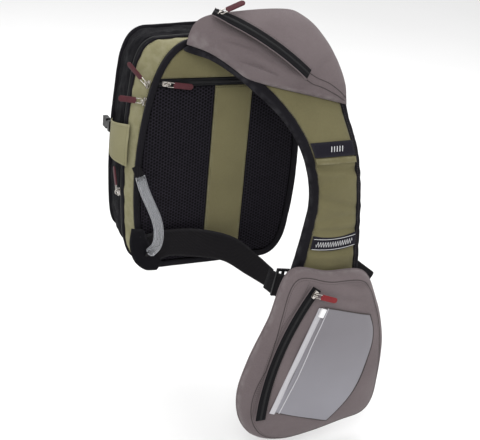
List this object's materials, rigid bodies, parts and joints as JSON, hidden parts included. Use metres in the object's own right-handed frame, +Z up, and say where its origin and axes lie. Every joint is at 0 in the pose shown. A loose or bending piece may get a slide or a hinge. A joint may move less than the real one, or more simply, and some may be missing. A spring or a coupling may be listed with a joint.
{
  "type": "fishing sling pack",
  "caption": "One-shoulder fishing sling pack: zipped back bag, padded strap with a shoulder pocket, cross webbing and a hanging chest pocket with a clear window.",
  "frame": {"origin": "underside of the padded strap where it sits on the wearer's shoulder", "axes": "+Z up, +Y from the wearer's back into the bag, +X towards the strap's outer edge and the wearer's left side"},
  "size_m": [0.3897, 0.3174, 0.6535],
  "materials": {
    "olive_fabric": "woven olive polyester, matt",
    "grey_fabric": "woven taupe-grey polyester, matt",
    "black_fabric": "woven black polyester, matt",
    "mesh_fabric": "black spacer mesh, matt",
    "binding": "black grosgrain binding over cord",
    "zip_tape": "black coil zip and tape",
    "foam": "closed-cell foam",
    "stiffener": "thin plastic sheet",
    "webbing": "black polypropylene webbing",
    "clear_tube": "clear vinyl tube, glossy",
    "clear_window": "milky clear vinyl sheet, glossy",
    "nickel": "polished nickel plate",
    "pull_rubber": "moulded burgundy rubber",
    "buckle_plastic": "black acetal",
    "slider_plastic": "white plastic",
    "label": "woven black label"
  },
  "bodies": {
    "bag": {"back_foam": "foam", "back_stiffener": "stiffener", "back_mesh_left": "mesh_fabric", "back_mesh_right": "mesh_fabric", "back_centre_strip": "olive_fabric", "back_pocket_zip": "zip_tape", "back_top_band": "olive_fabric", "panel_piping": "binding", "rear_zip": "zip_tape", "rear_gusset": "olive_fabric", "main_rear_piping": "binding", "main_gusset_rear": "black_fabric", "main_zip": "zip_tape", "main_gusset_front": "black_fabric", "main_front_piping": "binding", "front_panel": "black_fabric", "front_pocket": "olive_fabric", "front_pocket_zip": "zip_tape", "base_pad": "black_fabric", "left_tab": "olive_fabric", "right_tab": "olive_fabric", "left_buckle_socket": "buckle_plastic", "right_buckle_socket": "buckle_plastic", "tool_tube": "clear_tube", "sling_webbing": "webbing"},
    "strap": {"strap_pad": "olive_fabric", "strap_lining": "mesh_fabric", "strap_binding_inner": "binding", "strap_binding_outer": "binding", "upper_label": "label", "lower_label": "label", "strap_end_webbing": "webbing", "strap_adjuster": "buckle_plastic", "shoulder_pocket": "grey_fabric", "shoulder_pocket_zip": "zip_tape"},
    "chest_pocket": {"chest_pocket": "grey_fabric", "chest_zip": "zip_tape", "chest_window": "clear_window", "window_rail": "clear_tube"},
    "window_slider": {"window_slider": "slider_plastic"},
    "left_clip": {"left_buckle_clip": "buckle_plastic"},
    "right_clip": {"right_buckle_clip": "buckle_plastic"},
    "rear_upper_slider": {"rear_upper_slider": "nickel"},
    "rear_upper_pull": {"rear_upper_pull": "pull_rubber"},
    "rear_lower_slider": {"rear_lower_slider": "nickel"},
    "rear_lower_pull": {"rear_lower_pull": "pull_rubber"},
    "main_left_slider": {"main_left_slider": "nickel"},
    "main_left_pull": {"main_left_pull": "pull_rubber"},
    "main_right_slider": {"main_right_slider": "nickel"},
    "main_right_pull": {"main_right_pull": "pull_rubber"},
    "back_pocket_slider": {"back_pocket_slider": "nickel"},
    "back_pocket_pull": {"back_pocket_pull": "pull_rubber"},
    "shoulder_pocket_slider": {"shoulder_pocket_slider": "nickel"},
    "shoulder_pocket_pull": {"shoulder_pocket_pull": "pull_rubber"},
    "chest_pocket_slider": {"chest_pocket_slider": "nickel"},
    "chest_pocket_pull": {"chest_pocket_pull": "pull_rubber"},
    "front_pocket_slider": {"front_pocket_slider": "nickel"},
    "front_pocket_pull": {"front_pocket_pull": "pull_rubber"}
  },
  "joints": [
    {"name": "shoulder_swing", "type": "hinge", "parent": "bag", "child": "strap", "pos_m": [-0.033, 0.022, 0.017], "axis": [1, 0, 0], "range_deg": [-6, 3], "deforming": ["sling_webbing"]},
    {"name": "chest_pocket_swing", "type": "hinge", "parent": "strap", "child": "chest_pocket", "pos_m": [0.075, -0.089, -0.293], "axis": [1, 0, 0], "range_deg": [-25, 5]},
    {"name": "rear_upper_slide", "type": "hinge", "parent": "bag", "child": "rear_upper_slider", "pos_m": [-0.06788, 0.0336, -0.06766], "axis": [0, 1, 0], "range_deg": [0, 26]},
    {"name": "rear_lower_slide", "type": "hinge", "parent": "bag", "child": "rear_lower_slider", "pos_m": [0.4055, 0.0336, -0.187], "axis": [0, 1, 0], "range_deg": [-18, 0.5]},
    {"name": "main_left_slide", "type": "hinge", "parent": "bag", "child": "main_left_slider", "pos_m": [0.9175, 0.0702, -0.176], "axis": [0, 1, 0], "range_deg": [-2.6, 6.5]},
    {"name": "main_right_slide", "type": "hinge", "parent": "bag", "child": "main_right_slider", "pos_m": [-1.0235, 0.0702, -0.176], "axis": [0, 1, 0], "range_deg": [-6.5, 2.6]},
    {"name": "back_pocket_slide", "type": "slide", "parent": "bag", "child": "back_pocket_slider", "axis": [1, 0, 0], "range_m": [0, 0.165]},
    {"name": "shoulder_pocket_slide", "type": "hinge", "parent": "strap", "child": "shoulder_pocket_slider", "pos_m": [-0.0529, 0.14875, -0.18452], "axis": [0.6277, 0.6276, 0.4606], "range_deg": [0, 26.2]},
    {"name": "chest_pocket_slide", "type": "hinge", "parent": "chest_pocket", "child": "chest_pocket_slider", "pos_m": [0.384, -0.133, -0.525], "axis": [0, 1, 0], "range_deg": [-29, 0]},
    {"name": "front_pocket_slide", "type": "slide", "parent": "bag", "child": "front_pocket_slider", "axis": [1, 0, 0], "range_m": [0, 0.124]},
    {"name": "window_slide", "type": "slide", "parent": "chest_pocket", "child": "window_slider", "axis": [-0.3377, 0, -0.9412], "range_m": [0, 0.165]},
    {"name": "left_buckle_release", "type": "slide", "parent": "bag", "child": "left_clip", "axis": [0, 1, 0], "range_m": [0, 0.03]},
    {"name": "right_buckle_release", "type": "slide", "parent": "bag", "child": "right_clip", "axis": [0, 1, 0], "range_m": [0, 0.03]},
    {"name": "rear_upper_pull_swing", "type": "hinge", "parent": "rear_upper_slider", "child": "rear_upper_pull", "pos_m": [-0.16536, 0.0336, -0.04325], "axis": [0.1819, -0.6626, 0.7265], "range_deg": [-8, 100]},
    {"name": "rear_lower_pull_swing", "type": "hinge", "parent": "rear_lower_slider", "child": "rear_lower_pull", "pos_m": [-0.16942, 0.0336, -0.06753], "axis": [0.1948, 0.2877, 0.9377], "range_deg": [-4, 100]},
    {"name": "main_left_pull_swing", "type": "hinge", "parent": "main_left_slider", "child": "main_left_pull", "pos_m": [-0.18867, 0.0702, -0.21625], "axis": [-0.0104, -0.9579, 0.287], "range_deg": [0, 150]},
    {"name": "main_right_pull_swing", "type": "hinge", "parent": "main_right_slider", "child": "main_right_pull", "pos_m": [0.08267, 0.0702, -0.21625], "axis": [-0.0104, 0.9579, -0.287], "range_deg": [0, 150]},
    {"name": "back_pocket_pull_swing", "type": "hinge", "parent": "back_pocket_slider", "child": "back_pocket_pull", "pos_m": [-0.139, 0.0209, -0.0415], "axis": [-0.1191, 0, -0.9929], "range_deg": [0, 150]},
    {"name": "shoulder_pocket_pull_swing", "type": "hinge", "parent": "shoulder_pocket_slider", "child": "shoulder_pocket_pull", "pos_m": [-0.08037, -0.00513, 0.0626], "axis": [0.2394, -0.8359, -0.4939], "range_deg": [-5, 120]},
    {"name": "chest_pocket_pull_swing", "type": "hinge", "parent": "chest_pocket_slider", "child": "chest_pocket_pull", "pos_m": [0.04336, -0.1387, -0.30966], "axis": [-0.3491, 0, -0.9371], "range_deg": [0, 150]},
    {"name": "front_pocket_pull_swing", "type": "hinge", "parent": "front_pocket_slider", "child": "front_pocket_pull", "pos_m": [-0.115, 0.1711, -0.121], "axis": [0.8944, 0, -0.4472], "range_deg": [0, 150]}
  ]
}
